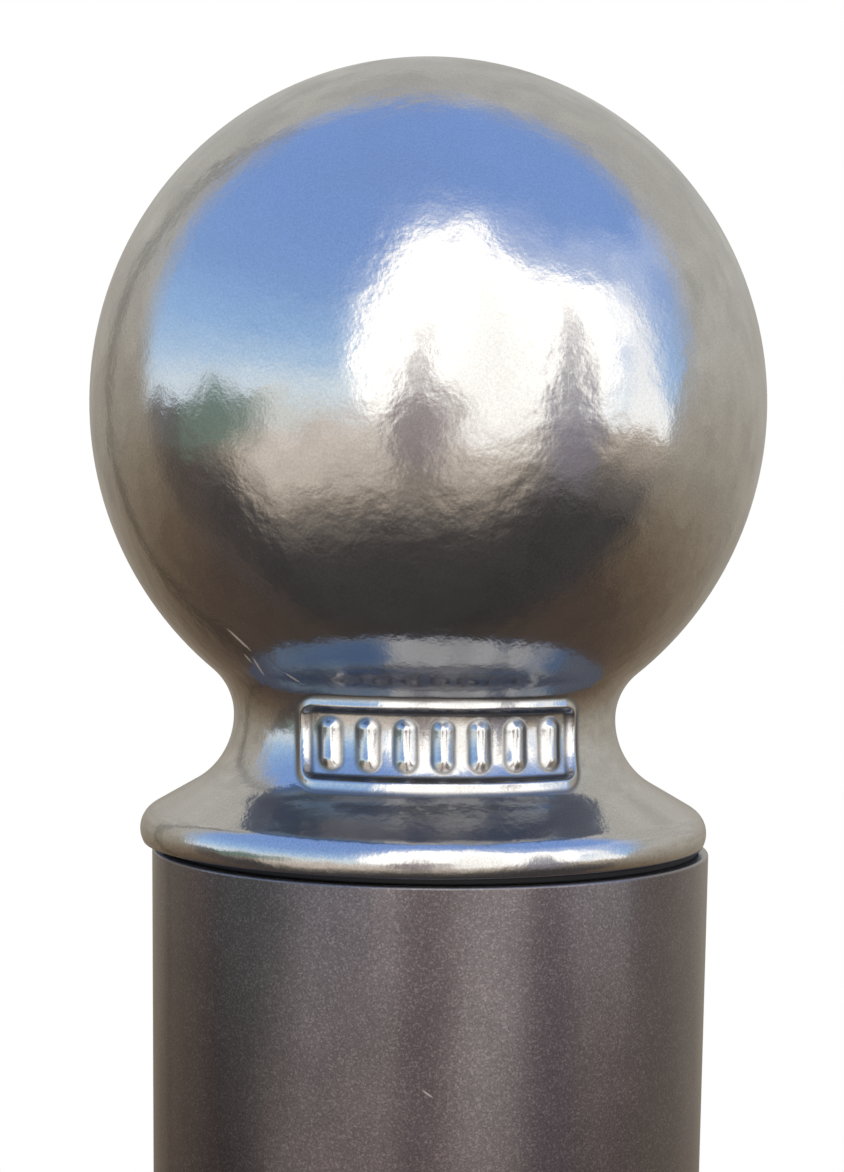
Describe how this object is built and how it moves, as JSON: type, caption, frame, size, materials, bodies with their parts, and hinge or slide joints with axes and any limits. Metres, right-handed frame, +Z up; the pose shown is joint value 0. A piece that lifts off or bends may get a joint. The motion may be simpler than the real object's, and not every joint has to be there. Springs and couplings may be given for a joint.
{
  "type": "street bollard",
  "caption": "Round steel street bollard topped with a polished cast ball on a flared neck and collar, with a plain raised cartouche.",
  "frame": {"origin": "centre of the post where it leaves the ground", "axes": "+Z up along the post; the cartouche on the head's neck faces -Y; +X to the right seen from the cartouche's side"},
  "size_m": [0.09, 0.09, 1.2],
  "materials": {
    "powder_coat": "dark brown-grey metallic powder coat on steel, satin, with a fine speckle",
    "seal_rubber": "black sealing rubber, matt",
    "polished_aluminium": "polished cast aluminium, mirror-like with a soft waviness"
  },
  "bodies": {
    "root": {"post_tube": "powder_coat", "joint_seal": "seal_rubber", "head_casting": "polished_aluminium"}
  },
  "joints": []
}
